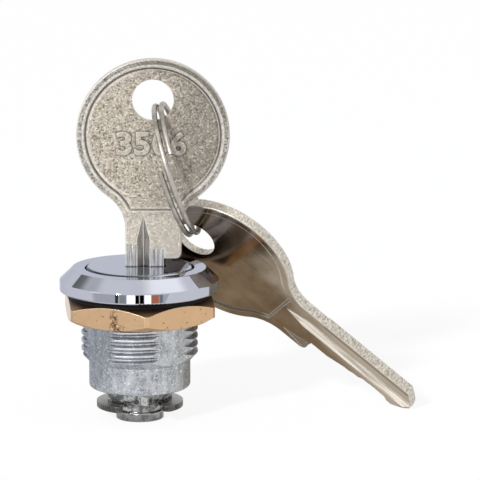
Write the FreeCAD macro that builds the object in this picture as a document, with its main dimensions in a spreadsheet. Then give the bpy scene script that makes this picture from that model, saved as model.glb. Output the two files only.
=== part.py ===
import FreeCAD, Part
import math
import os
import re

import Sketcher
from FreeCAD import Placement, Rotation, Vector

# Enclosure lock with two keys on a split ring, in millimetres.
# The origin is on the lock's axis at the underside of the flange, where it meets the panel gasket.
# +Z runs along the axis towards the key, and -Y faces the viewer.
# Levels below the flange are written as drops, positive downwards.

SIZES = {
    # flange and the recess for the face disc
    "rim_radius": 15.0,
    "rim_height": 2.0,
    "flange_top_radius": 12.6,
    "flange_height": 4.3,
    "flange_rounding": 0.25,
    "recess_floor": 1.5,
    # threaded barrel
    "thread_radius": 11.0,
    "thread_pitch": 1.5,
    "thread_depth": 0.75,
    "thread_root": 0.3,
    "thread_crest": 0.3,
    "thread_start": 0.45,
    "thread_end": 13.4,
    "thread_chamfer": 1.5,
    "flats_across": 19.7,
    "flats_turn": 40.0,
    "lower_radius": 9.55,
    "housing_length": 18.6,
    "lower_rounding": 0.8,
    # gasket and nut
    "gasket_radius": 13.6,
    "gasket_thickness": 1.1,
    "nut_across_flats": 27.0,
    "nut_thickness": 4.3,
    "nut_face_radius": 13.3,
    "nut_corner_radius": 15.35,
    "nut_chamfer_angle": 30.0,
    "nut_turn": 36.6,
    "thread_clearance": 0.1,
    # plug and its face disc
    "plug_radius": 7.0,
    "plug_clearance": 0.05,
    "head_radius": 9.2,
    "head_height": 1.9,
    "disc_radius": 10.0,
    "disc_top": 4.5,
    "disc_skirt": 2.4,
    "disc_rounding": 0.6,
    "disc_clearance": 0.18,
    "seal_section": 1.2,
    "seal_level": 0.2,
    "seal_clearance": 0.03,
    "seal_side_clearance": 0.1,
    # tail of the plug
    "driver_across": 9.0,
    "driver_corner_radius": 6.2,
    "driver_height": 2.6,
    "driver_turn": 60.0,
    "groove_radius": 4.0,
    "groove_width": 1.75,
    "end_disc_radius": 4.5,
    "end_disc_height": 1.75,
    "end_disc_rounding": 0.2,
    # retaining clip
    "clip_radius": 8.15,
    "clip_thickness": 1.1,
    "clip_rim_inner": 5.7,
    "clip_mouth": 7.6,
    "clip_lug_width": 3.0,
    "clip_clearance": 0.04,
    "clip_turn": 7.0,
    "clip_end_rounding": 0.9,
    # stop pin and its groove
    "stop_pin_radius": 0.8,
    "stop_pin_rise": 3.1,
    "stop_pin_turn": 45.0,
    "stop_pin_sink": 0.35,
    "stop_groove_depth": 1.1,
    "stop_clearance": 0.1,
    "quarter_turn": 90.0,
    # keyway, wafers and their springs
    "keyway_offset": 1.2,
    "key_clearance": 0.1,
    "key_travel": 24.0,
    "wafer_width": 5.0,
    "wafer_thickness": 1.0,
    "wafer_clearance": 0.05,
    "wafer_spacing": 2.1,
    "first_wafer": 2.2,
    "wafer_travel": 0.9,
    "channel_clearance": 0.15,
    "lug_reach": 1.6,
    "lug_length": 0.8,
    "lug_place": 1.9,
    "spring_seat": 2.3,
    "spring_radius": 0.55,
    "spring_wire": 0.22,
    "spring_turns": 5.0,
    "spring_clearance": 0.08,
    "spring_end_gap": 0.02,
    # key
    "seat_level": 6.0,
    "key_thickness": 2.15,
    "bow_radius": 14.35,
    "bow_height": 23.4,
    "neck_width": 10.5,
    "bow_fillet": 7.4,
    "bow_rounding": 0.25,
    "hole_radius": 3.9,
    "hole_height": 6.6,
    "blade_width": 7.5,
    "blade_length": 22.2,
    "shoulder_rounding": 1.1,
    "tip_drop": 2.6,
    "tip_flat": 1.2,
    "tip_offset": 0.4,
    "throat_cut": 0.3,
    "throat_length": 3.9,
    "cut_flat": 1.1,
    "cut_1": 1.1,
    "cut_2": 1.4,
    "cut_3": 1.9,
    "cut_4": 2.0,
    "cut_5": 1.95,
    "cut_6": 1.35,
    # panel and wards on the key's faces
    "rim_band": 1.45,
    "rim_bevel": 0.5,
    "panel_depth": 0.35,
    "panel_drop": 14.3,
    "ward_width": 2.4,
    "ward_depth": 0.65,
    "ward_place": -0.37,
    "ward_top": 8.5,
    "ward_point": 4.8,
    "edge_ward_place": 5.1,
    "edge_ward_top": 6.0,
    "edge_ward_point": 5.4,
    # split ring, and how it lies in the two keys' holes
    "ring_radius": 12.5,
    "ring_wire": 1.0,
    "ring_spacing": 1.42,
    "ring_mouth": 12.0,
    "ring_mouth_turn": -9.5,
    "ring_yaw": -95.455,
    "ring_tilt": -5.59,
    "ring_roll": -72.621,
    "hang_phase": 298.0,
    "hang_clearance": 0.54,
    "hang_angle": 19.2,
    "carry_phase": 108.0,
    "carry_clearance": 1.14,
    "carry_angle": 46.5,
    "spare_yaw": 121.985,
    "spare_tilt": 32.67,
    "spare_roll": -41.219,
}

WAFERS = 6
CLIP_LUGS = 3

# How far a cutting tool runs past the face that it opens.
OVERRUN = 1.0

# How far neighbouring cutters overlap round an axis, in degrees.
OVERLAP_ANGLE = 1.5

# How many points the gap between a coil's turns is measured at.
GAP_POINTS = 481

# A half turn, in degrees.
HALF_TURN = 180.0

# How far the spare key may lean to reach the table, and how finely that is found, in degrees.
LEAN_RANGE = 20.0
LEAN_STEP = 0.0001

# Radii and levels that more than one piece takes its place from.
BORE = "(plug_radius + plug_clearance)"
RECESS = "(disc_radius + disc_clearance)"
HEAD_UNDERSIDE = "(recess_floor + plug_clearance)"
HEAD_TOP = f"({HEAD_UNDERSIDE} + head_height)"
NUT_DROP = "(gasket_thickness + nut_thickness)"
DRIVER_DROP = "(housing_length + driver_height)"
END_DISC_DROP = f"({DRIVER_DROP} + groove_width)"
TAIL_DROP = f"({END_DISC_DROP} + end_disc_height)"
SEAL_FLOOR = f"({BORE} - seal_section - seal_clearance)"
SEAL_GROOVE_HALF = "(seal_section / 2 + seal_side_clearance)"
STOP_PIN_DROP = "(housing_length - stop_pin_rise)"
STOP_FLOOR = "(plug_radius - stop_groove_depth)"
STOP_MARGIN = f"(asin((stop_pin_radius + stop_clearance) / {STOP_FLOOR}) / 1deg)"
CHANNEL_REACH = "(plug_radius - wafer_clearance + wafer_travel + 2 * channel_clearance)"
CHANNEL_WIDTH = "(wafer_width + 2 * channel_clearance)"
CHANNEL_TOP_DROP = "(first_wafer - wafer_thickness / 2 - 2 * channel_clearance)"
WAFER_RADIUS = "(plug_radius - wafer_clearance)"
LUG_FACE = "(lug_length - lug_place)"
CHAMBER_WIDTH = "(lug_reach + channel_clearance)"
CHAMBER_HEIGHT = "(2 * spring_radius + spring_wire + 2 * spring_clearance)"
SPRING_PITCH = f"((spring_seat - {LUG_FACE} - spring_wire - 2 * spring_end_gap) / spring_turns)"
KEYWAY_LEFT = "(keyway_offset - blade_width / 2 - key_clearance)"
KEYWAY_WIDTH = "(blade_width + 2 * key_clearance)"
KEYWAY_HALF = "(key_thickness / 2 + key_clearance)"
KEYWAY_FLOOR = "(seat_level - blade_length - key_clearance)"
BOW_PLACE = "((neck_width - blade_width) / 2)"

X_AXIS = Vector(1, 0, 0)
Y_AXIS = Vector(0, 1, 0)
Z_AXIS = Vector(0, 0, 1)

doc = FreeCAD.newDocument("EnclosureLock")
sheet = doc.addObject("Spreadsheet::Sheet", "Sizes")
for row, (alias, number) in enumerate(SIZES.items(), start=1):
    sheet.set(f"A{row}", alias)
    sheet.set(f"B{row}", str(number))
    sheet.setAlias(f"B{row}", alias)
doc.recompute()

subparts = []


def size(alias):
    """A driving dimension as a number, read from the sheet."""
    return float(sheet.get(alias))


def cell(word):
    """The sheet's cell where a word is a driving dimension, or else the word."""
    return f"Sizes.{word}" if word in SIZES else word


def rule(text):
    """A formula with each driving dimension in it turned into its cell."""
    return re.sub(r"[a-z_][a-z_0-9]*", lambda word: cell(word.group()), text)


def value(text):
    """What a formula comes to, for shapes that are worked out point by point."""
    return float(FreeCAD.Units.Quantity(doc.Sizes.evalExpression(rule(text).replace("Sizes.", ""))).Value)


def bind(thing, rules):
    """Ties each property of a thing to its formula."""
    for name, text in rules.items():
        thing.setExpression(name, rule(text))
    return thing


def place(thing, x="0", y="0", z="0"):
    return bind(thing, {"Placement.Base.x": x, "Placement.Base.y": y, "Placement.Base.z": z})


def turn(thing, angle, axis=Z_AXIS):
    """Turns a thing about an axis through its own base point."""
    thing.Placement = Placement(thing.Placement.Base, Rotation(axis, 1.0))
    return bind(thing, {"Placement.Rotation.Angle": angle})


def label(thing, node):
    """Makes a thing the sub-part of that name."""
    thing.Label = node
    subparts.append(thing)
    return thing


def cylinder(name, radius, height, x="0", y="0", z="0"):
    thing = doc.addObject("Part::Cylinder", name)
    bind(thing, {"Radius": radius, "Height": height})
    return place(thing, x, y, z)


def box(name, length, width, height, x="0", y="0", z="0"):
    """A box placed by its low corner."""
    thing = doc.addObject("Part::Box", name)
    bind(thing, {"Length": length, "Width": width, "Height": height})
    return place(thing, x, y, z)


def prism(name, sides, across, height, first_flat, z="0"):
    """An upright prism of an even number of sides, with a flat's normal at the given angle from X."""
    thing = doc.addObject("Part::Prism", name)
    thing.Polygon = sides
    bind(thing, {"Circumradius": f"{across} / 2 / cos({180 / sides})", "Height": height})
    place(thing, z=z)
    return turn(thing, f"{first_flat} - {180 / sides}")


def fuse(name, *things):
    thing = doc.addObject("Part::MultiFuse", name)
    thing.Shapes = list(things)
    thing.Refine = True
    return thing


def cut(name, base, *tools):
    """The base with all the tools taken out."""
    thing = doc.addObject("Part::Cut", name)
    thing.Base = base
    thing.Tool = tools[0] if len(tools) == 1 else fuse(f"{name}_tools", *tools)
    thing.Refine = True
    return thing


def common(name, first, second):
    thing = doc.addObject("Part::Common", name)
    thing.Base = first
    thing.Tool = second
    return thing


def loft(name, sections):
    """A straight-sided solid through sections, the last of which may be a point."""
    thing = doc.addObject("Part::Loft", name)
    thing.Sections = sections
    thing.Solid = True
    thing.Ruled = True
    return thing


def tie(sketch, kind, items, text):
    """Adds a constraint on items of the sketch whose value is a formula."""
    number = sketch.addConstraint(Sketcher.Constraint(kind, *items, value(text)))
    sketch.setExpression(f"Constraints[{number}]", rule(text))


def tie_point(sketch, edge, end, x, y):
    """Ties one point of an edge to its two coordinates."""
    tie(sketch, "DistanceX", (-1, 1, edge, end), x)
    tie(sketch, "DistanceY", (-1, 1, edge, end), y)


def outline(sketch, corners):
    """A closed outline of straight edges through corners given as pairs of formulas."""
    count = len(corners)
    start = [Vector(value(x), value(y)) for x, y in corners]
    for corner in range(count):
        sketch.addGeometry(Part.LineSegment(start[corner], start[(corner + 1) % count]), False)
    for corner in range(count):
        sketch.addConstraint(Sketcher.Constraint("Coincident", corner, 2, (corner + 1) % count, 1))
    for corner, (x, y) in enumerate(corners):
        tie_point(sketch, corner, 1, x, y)
    return sketch


def disc_outline(sketch, radius, x, y):
    """A circle given by its radius and centre."""
    sketch.addGeometry(Part.Circle(Vector(value(x), value(y)), Z_AXIS, value(radius)), False)
    tie(sketch, "Radius", (0,), radius)
    tie_point(sketch, 0, 3, x, y)
    return sketch


def free_sketch(name, upright=True, y="0", z="0"):
    """A sketch of its own, upright with its Y axis along +Z, or flat."""
    sketch = doc.addObject("Sketcher::SketchObject", name)
    if upright:
        sketch.Placement = Placement(Vector(), Rotation(X_AXIS, 90))
    return place(sketch, y=y, z=z)


def body_sketch(body, name):
    """A sketch on a body's own upright XZ plane."""
    plane = next(part for part in body.Origin.OriginFeatures if part.Role == "XZ_Plane")
    sketch = body.newObject("Sketcher::SketchObject", name)
    sketch.AttachmentSupport = [(plane, "")]
    sketch.MapMode = "FlatFace"
    return sketch


def round_edges(body, name, base, chosen, radius):
    """Rounds those edges of a body's last feature whose middle and kind pass a test."""
    doc.recompute()
    names = []
    for number, edge in enumerate(base.Shape.Edges, start=1):
        middle = edge.valueAt((edge.FirstParameter + edge.LastParameter) / 2)
        if chosen(edge, middle):
            names.append(f"Edge{number}")
    thing = body.newObject("PartDesign::Fillet", name)
    thing.Base = (base, names)
    return bind(thing, {"Radius": radius})


def round_corners(name, base, chosen, radius):
    """Rounds those edges of any shape whose middle and kind pass a test."""
    doc.recompute()
    edges = []
    for number, edge in enumerate(base.Shape.Edges, start=1):
        middle = edge.valueAt((edge.FirstParameter + edge.LastParameter) / 2)
        if chosen(edge, middle):
            edges.append((number, size(radius), size(radius)))
    thing = doc.addObject("Part::Fillet", name)
    thing.Base = base
    thing.Edges = edges
    return thing


def turned(name, corners):
    """A body turned about Z from an outline of radii and heights."""
    body = doc.addObject("PartDesign::Body", name)
    sketch = outline(body_sketch(body, f"{name}_outline"), corners)
    revolution = body.newObject("PartDesign::Revolution", f"{name}_turned")
    revolution.Profile = sketch
    revolution.ReferenceAxis = (sketch, ["V_Axis"])
    revolution.Angle = 360.0
    return body, revolution


def near(first, second):
    return abs(first - second) < 0.001


def on_circle(radius, height):
    """A test for the round edge of that radius at that height."""
    def chosen(edge, middle):
        return near(math.hypot(middle.x, middle.y), radius) and near(middle.z, height)
    return chosen


def thread_cutters(name, back, crest, crest_half, root, root_half, shift):
    """Four combs that cut a quarter of the thread's turns each, raised in step and leaning with its lead."""
    teeth = int((size("thread_end") - size("gasket_thickness")) / size("thread_pitch"))
    corners = [(back, f"thread_start - thread_end + {shift} - thread_pitch")]
    for tooth in range(teeth):
        level = f"(thread_start - thread_end + {shift} + {tooth} * thread_pitch)"
        corners.append((crest, f"{level} - {crest_half}"))
        corners.append((root, f"{level} - {root_half}"))
        corners.append((root, f"{level} + {root_half}"))
        corners.append((crest, f"{level} + {crest_half}"))
    corners.append((back, f"thread_start - thread_end + {shift} + {teeth} * thread_pitch"))
    section = outline(free_sketch(f"{name}_section"), corners)
    lead = math.degrees(math.atan(size("thread_pitch") / (2 * math.pi * size("thread_radius"))))
    middle = Vector(0, 0, -size("thread_end") / 2)
    combs = []
    for quarter in range(4):
        comb = doc.addObject("Part::Revolution", f"{name}_{quarter + 1}")
        comb.Source = section
        comb.Axis = Z_AXIS
        comb.Angle = 90 + 2 * OVERLAP_ANGLE
        comb.Symmetric = True
        comb.Solid = True
        facing = size("flats_turn") - 135 + 90 * quarter
        rise = Vector(0, 0, size("thread_pitch") * quarter / 4)
        leaning = Rotation(Z_AXIS, facing) * Rotation(X_AXIS, lead)
        comb.Placement = Placement(middle + rise, leaning) * Placement(middle * -1, Rotation())
        combs.append(comb)
    return combs


def make_housing():
    """One casting: flange, threaded barrel with four flats, and the smooth lower end."""
    flange, flange_turned = turned(
        "flange",
        [
            (BORE, "0"),
            ("rim_radius", "0"),
            ("rim_radius", "rim_height"),
            ("flange_top_radius", "flange_height"),
            (RECESS, "flange_height"),
            (RECESS, "recess_floor"),
            (BORE, "recess_floor"),
        ],
    )
    rim_top = on_circle(size("rim_radius"), size("rim_height"))
    rim_foot = on_circle(size("rim_radius"), 0)
    shelf = on_circle(size("flange_top_radius"), size("flange_height"))
    mouth = on_circle(size("disc_radius") + size("disc_clearance"), size("flange_height"))
    round_edges(
        flange,
        "flange_rounded",
        flange_turned,
        lambda edge, middle: any(test(edge, middle) for test in (rim_top, rim_foot, shelf, mouth)),
        "flange_rounding",
    )

    barrel, barrel_turned = turned(
        "barrel",
        [
            (BORE, "-housing_length"),
            ("lower_radius", "-housing_length"),
            ("lower_radius", "-thread_end"),
            ("thread_radius", "thread_chamfer - thread_end"),
            ("thread_radius", "0"),
            (BORE, "0"),
        ],
    )
    foot = on_circle(size("lower_radius"), -size("housing_length"))
    round_edges(barrel, "barrel_rounded", barrel_turned, foot, "lower_rounding")

    flats = prism(
        "barrel_flats", 4, "flats_across", f"housing_length + {OVERRUN}", "flats_turn",
        z=f"-housing_length - {OVERRUN}",
    )
    combs = thread_cutters(
        "thread_comb",
        back=f"thread_radius + {OVERRUN}",
        crest="(thread_radius + thread_clearance)",
        crest_half="(thread_pitch / 2 - thread_crest / 4)",
        root="(thread_radius - thread_depth)",
        root_half="(thread_root / 2)",
        shift="0",
    )
    threaded = cut("threaded_barrel", common("flatted_barrel", barrel, flats), *combs)

    channel_height = f"housing_length - {CHANNEL_TOP_DROP} + {OVERRUN}"
    channel_foot = f"-housing_length - {OVERRUN}"
    channel_across = box(
        "channel_across", f"2 * {CHANNEL_REACH}", CHANNEL_WIDTH, channel_height,
        x=f"-{CHANNEL_REACH}", y=f"-{CHANNEL_WIDTH} / 2", z=channel_foot,
    )
    channel_along = box(
        "channel_along", CHANNEL_WIDTH, f"2 * {CHANNEL_REACH}", channel_height,
        x=f"-{CHANNEL_WIDTH} / 2", y=f"-{CHANNEL_REACH}", z=channel_foot,
    )
    pin_hole = radial_pin("stop_pin_hole", BORE + " - stop_pin_radius", f"lower_radius + {OVERRUN}")
    whole = fuse("housing_casting", flange, threaded)
    label(cut("housing_cut", whole, channel_across, channel_along, pin_hole), "housing")


def radial_pin(name, inner, outer):
    """A round pin that points away from the axis where the stop pin sits."""
    pin = doc.addObject("Part::Cylinder", name)
    bind(pin, {"Radius": "stop_pin_radius", "Height": f"({outer}) - ({inner})"})
    pin.Placement = Placement(Vector(), Rotation(Z_AXIS, size("stop_pin_turn")) * Rotation(Y_AXIS, 90))
    return place(pin, f"({inner}) * cos(stop_pin_turn)", f"({inner}) * sin(stop_pin_turn)", f"-{STOP_PIN_DROP}")


def make_gasket():
    ring = cylinder("gasket_disc", "gasket_radius", "gasket_thickness", z="-gasket_thickness")
    hole = cylinder(
        "gasket_hole", "thread_radius + thread_clearance", f"gasket_thickness + {2 * OVERRUN}",
        z=f"-gasket_thickness - {OVERRUN}",
    )
    label(cut("gasket_cut", ring, hole), "panel_gasket")


def make_nut():
    """Hexagonal panel nut with chamfered faces and turned-off corners, threaded to fit the barrel."""
    bevel = "((nut_corner_radius - nut_face_radius) * tan(nut_chamfer_angle))"
    inner = "(thread_radius - thread_depth + thread_clearance)"
    blank, _ = turned(
        "nut_blank",
        [
            (inner, f"-{NUT_DROP}"),
            ("nut_face_radius", f"-{NUT_DROP}"),
            ("nut_corner_radius", f"{bevel} - {NUT_DROP}"),
            ("nut_corner_radius", f"-{bevel} - gasket_thickness"),
            ("nut_face_radius", "-gasket_thickness"),
            (inner, "-gasket_thickness"),
        ],
    )
    sides = prism("nut_sides", 6, "nut_across_flats", "nut_thickness", "nut_turn + 30", z=f"-{NUT_DROP}")
    combs = thread_cutters(
        "nut_comb",
        back=f"{inner} - {OVERRUN}",
        crest=f"({inner} - thread_clearance)",
        crest_half="(thread_pitch / 2 - thread_crest / 4)",
        root="(thread_radius + thread_clearance)",
        root_half="(thread_root / 2 + thread_clearance)",
        shift="thread_pitch / 2",
    )
    label(cut("nut_cut", common("nut_hexagon", blank, sides), *combs), "hex_nut")


def wafer_drop(number):
    return f"(first_wafer + {number} * wafer_spacing)"


def make_plug():
    """The turning barrel: head, shank with keyway and wafer slots, square driver, groove and end disc."""
    core, core_turned = turned(
        "plug_core",
        [
            ("0", f"-{TAIL_DROP}"),
            ("end_disc_radius", f"-{TAIL_DROP}"),
            ("end_disc_radius", f"-{END_DISC_DROP}"),
            ("groove_radius", f"-{END_DISC_DROP}"),
            ("groove_radius", "-housing_length"),
            ("plug_radius", "-housing_length"),
            ("plug_radius", f"seal_level - {SEAL_GROOVE_HALF}"),
            (SEAL_FLOOR, f"seal_level - {SEAL_GROOVE_HALF}"),
            (SEAL_FLOOR, f"seal_level + {SEAL_GROOVE_HALF}"),
            ("plug_radius", f"seal_level + {SEAL_GROOVE_HALF}"),
            ("plug_radius", HEAD_UNDERSIDE),
            ("head_radius", HEAD_UNDERSIDE),
            ("head_radius", HEAD_TOP),
            ("0", HEAD_TOP),
        ],
    )
    tail = size("housing_length") + size("driver_height") + size("groove_width") + size("end_disc_height")
    foot = on_circle(size("end_disc_radius"), -tail)
    shelf = on_circle(size("end_disc_radius"), size("end_disc_height") - tail)
    round_edges(
        core,
        "plug_core_rounded",
        core_turned,
        lambda edge, middle: foot(edge, middle) or shelf(edge, middle),
        "end_disc_rounding",
    )
    square = prism("driver_square", 4, "driver_across", "driver_height", "driver_turn", z=f"-{DRIVER_DROP}")
    corners = cylinder("driver_corners", "driver_corner_radius", "driver_height", z=f"-{DRIVER_DROP}")
    blank = fuse("plug_blank", core, common("driver", square, corners))

    keyway = box(
        "keyway", KEYWAY_WIDTH, f"2 * {KEYWAY_HALF}", f"{HEAD_TOP} - {KEYWAY_FLOOR} + {OVERRUN}",
        x=KEYWAY_LEFT, y=f"-{KEYWAY_HALF}", z=KEYWAY_FLOOR,
    )
    tools = [keyway, stop_groove()]
    reach = f"(plug_radius + {OVERRUN})"
    slot_width = "(wafer_width + 2 * wafer_clearance)"
    slot_height = "(wafer_thickness + 2 * wafer_clearance)"
    for number in range(WAFERS):
        drop = wafer_drop(number)
        tools.append(box(
            f"wafer_slot_{number + 1}", f"2 * {reach}", slot_width, slot_height,
            x=f"-{reach}", y=f"-{slot_width} / 2", z=f"-{drop} - {slot_height} / 2",
        ))
        tools.append(box(
            f"spring_chamber_{number + 1}", f"{reach} + spring_seat", CHAMBER_WIDTH, CHAMBER_HEIGHT,
            x=f"-{reach}", y="wafer_width / 2", z=f"-{drop} - {CHAMBER_HEIGHT} / 2",
        ))
    label(cut("plug_cut", blank, *tools), "plug")


def stop_groove():
    """The groove in which the stop pin lets the plug make its quarter turn."""
    width = "(2 * (stop_pin_radius + stop_clearance))"
    drop = f"-{STOP_PIN_DROP} - {width} / 2"
    sweep = cylinder("stop_groove_sweep", f"plug_radius + {OVERRUN}", width, z=drop)
    bind(sweep, {"Angle": f"quarter_turn + 2 * {STOP_MARGIN}"})
    turn(sweep, f"stop_pin_turn - {STOP_MARGIN}")
    floor = cylinder("stop_groove_floor", STOP_FLOOR, width, z=drop)
    return cut("stop_groove", sweep, floor)


def make_face_disc():
    """The round face of the plug, a cap pressed over its head."""
    body, disc_turned = turned(
        "disc_cap",
        [
            ("0", HEAD_TOP),
            ("head_radius", HEAD_TOP),
            ("head_radius", "disc_top - disc_skirt"),
            ("disc_radius", "disc_top - disc_skirt"),
            ("disc_radius", "disc_top"),
            ("0", "disc_top"),
        ],
    )
    edge = on_circle(size("disc_radius"), size("disc_top"))
    round_edges(body, "disc_cap_rounded", disc_turned, edge, "disc_rounding")
    slot = box(
        "disc_slot", KEYWAY_WIDTH, f"2 * {KEYWAY_HALF}", f"disc_top - {HEAD_TOP} + {2 * OVERRUN}",
        x=KEYWAY_LEFT, y=f"-{KEYWAY_HALF}", z=f"{HEAD_TOP} - {OVERRUN}",
    )
    label(cut("disc_cut", body, slot), "face_disc")


def make_seal():
    seal = doc.addObject("Part::Torus", "seal_ring")
    bind(seal, {
        "Radius1": f"{BORE} - seal_section / 2 - seal_clearance",
        "Radius2": "seal_section / 2 - seal_clearance",
    })
    label(place(seal, z="seal_level"), "plug_seal")


def make_stop_pin():
    label(radial_pin("stop_pin_rod", f"{STOP_FLOOR} + stop_clearance", "lower_radius - stop_pin_sink"), "stop_pin")


def window_edge(number):
    """Where a wafer's window ends towards the cuts, clear of them while the key slides past."""
    step = "wafer_travel / key_travel * wafer_spacing"
    depths = [f"cut_{cut_number + 1} - {cut_number - number} * {step}" for cut_number in range(number, WAFERS)]
    depth = depths[0] if len(depths) == 1 else f"min({'; '.join(depths)})"
    return f"(keyway_offset + blade_width / 2 - {depth} + key_clearance)"


def make_wafer(number):
    """A sliding plate with a window for the blade and a lug for its spring."""
    name = f"wafer_{number + 1}"
    level = f"-{wafer_drop(number)} - wafer_thickness / 2"
    strip = box(
        f"{name}_strip", f"2 * {WAFER_RADIUS}", "wafer_width", "wafer_thickness",
        x=f"-{WAFER_RADIUS}", y="-wafer_width / 2", z=level,
    )
    ends = cylinder(f"{name}_ends", WAFER_RADIUS, "wafer_thickness", z=level)
    lug = box(
        f"{name}_lug", "lug_length", "lug_reach", "wafer_thickness",
        x="-lug_place", y="wafer_width / 2", z=level,
    )
    window = box(
        f"{name}_window", f"{window_edge(number)} - {KEYWAY_LEFT}", f"2 * {KEYWAY_HALF}",
        f"wafer_thickness + {2 * OVERRUN}",
        x=KEYWAY_LEFT, y=f"-{KEYWAY_HALF}", z=f"{level} - {OVERRUN}",
    )
    plate = fuse(f"{name}_plate", common(f"{name}_round", strip, ends), lug)
    label(cut(f"{name}_cut", plate, window), name)


def arc_towards(start, corner, end):
    """The arc that leaves start towards a corner and reaches end coming from it, both equally far off."""
    middle = (start + end) / 2
    half = (end - start).Length / 2
    leg = (corner - start).Length
    radius = leg * half / math.sqrt(leg * leg - half * half)
    rise = radius - math.sqrt(radius * radius - half * half)
    towards = (corner - middle).normalize()
    return Part.Arc(start, middle + towards * rise, end).toShape()


def coil_path(radius, pitch, turns):
    """Turns about Z from the X axis upwards, in steps of up to a quarter turn, each made of two arcs."""
    steps = math.ceil(4 * turns)
    slope = pitch / (2 * math.pi)

    def point(angle):
        return Vector(radius * math.cos(angle), radius * math.sin(angle), slope * angle)

    def heading(angle):
        return Vector(-radius * math.sin(angle), radius * math.cos(angle), slope).normalize()

    edges = []
    for step in range(steps):
        first = 2 * math.pi * turns * step / steps
        last = 2 * math.pi * turns * (step + 1) / steps
        across = point(last) - point(first)
        both = heading(first) + heading(last)
        # legs of equal length: |across - leg * both| = 2 * leg
        square = 4 - both.dot(both)
        linear = across.dot(both)
        leg = (math.sqrt(linear * linear + square * across.dot(across)) - linear) / square
        leaving = point(first) + heading(first) * leg
        arriving = point(last) - heading(last) * leg
        joint = (leaving + arriving) / 2
        edges.append(arc_towards(point(first), leaving, joint))
        edges.append(arc_towards(joint, arriving, point(last)))
    return Part.Wire(edges)


def coil(name, radius, pitch, turns, wire):
    """One unbroken round wire along a coil's path."""
    path = doc.addObject("Part::Feature", f"{name}_path")
    path.Shape = coil_path(radius, pitch, turns)
    section = disc_outline(free_sketch(f"{name}_section"), f"{wire} / 2", str(radius), "0")
    thing = doc.addObject("Part::Sweep", name)
    thing.Sections = [section]
    thing.Spine = (path, [])
    thing.Solid = True
    thing.Frenet = False
    return thing, path


def make_wafer_spring(number):
    """The compression spring between a wafer's lug and the end of its chamber."""
    name = f"wafer_spring_{number + 1}"
    spring, _ = coil(
        f"{name}_wire", size("spring_radius"), value(SPRING_PITCH), size("spring_turns"), "spring_wire",
    )
    spring.Placement = Placement(Vector(), Rotation(Y_AXIS, 90))
    place(
        spring,
        f"{LUG_FACE} + spring_end_gap + spring_wire / 2",
        f"wafer_width / 2 + {CHAMBER_WIDTH} / 2",
        f"-{wafer_drop(number)}",
    )
    label(spring, name)


def make_clip():
    """Open retaining clip with three inner lugs, in the groove below the driver."""
    foot = f"(-{DRIVER_DROP} - clip_clearance - clip_thickness)"
    rim = cylinder("clip_outer", "clip_radius", "clip_thickness", z=foot)
    hollow = cylinder("clip_hollow", "clip_rim_inner", "clip_thickness", z=foot)
    neck = cylinder("clip_neck", "groove_radius + clip_clearance", "clip_thickness", z=foot)
    mouth_turn = "(clip_turn - 90)"
    lugs = []
    for number in range(CLIP_LUGS):
        angle = f"({mouth_turn} + {90 * (number + 1)})"
        reach = "((clip_rim_inner + clip_radius) / 2)"
        lug = box(
            f"clip_lug_{number + 1}", reach, "clip_lug_width", "clip_thickness",
            x=f"clip_lug_width / 2 * sin({angle})",
            y=f"-clip_lug_width / 2 * cos({angle})",
            z=foot,
        )
        lugs.append(turn(lug, angle))
    mouth = box(
        "clip_mouth_slot", f"clip_radius + {OVERRUN}", "clip_mouth", "clip_thickness",
        x=f"clip_mouth / 2 * sin({mouth_turn})",
        y=f"-clip_mouth / 2 * cos({mouth_turn})",
        z=foot,
    )
    turn(mouth, mouth_turn)
    band = fuse("clip_band", cut("clip_rim", rim, hollow), *lugs)
    blank = cut("clip_cut", band, neck, mouth)
    facing = math.radians(value(mouth_turn))

    def at_mouth(edge, middle):
        """A test for the four upright edges where the mouth cuts the band's rim."""
        upright = near(edge.BoundBox.ZLength, size("clip_thickness"))
        on_rim = math.hypot(middle.x, middle.y) > (size("clip_rim_inner") + size("groove_radius")) / 2
        aside = abs(middle.y * math.cos(facing) - middle.x * math.sin(facing))
        return upright and on_rim and near(aside, size("clip_mouth") / 2)

    label(round_corners("clip_ends", blank, at_mouth, "clip_end_rounding"), "retaining_clip")


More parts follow.
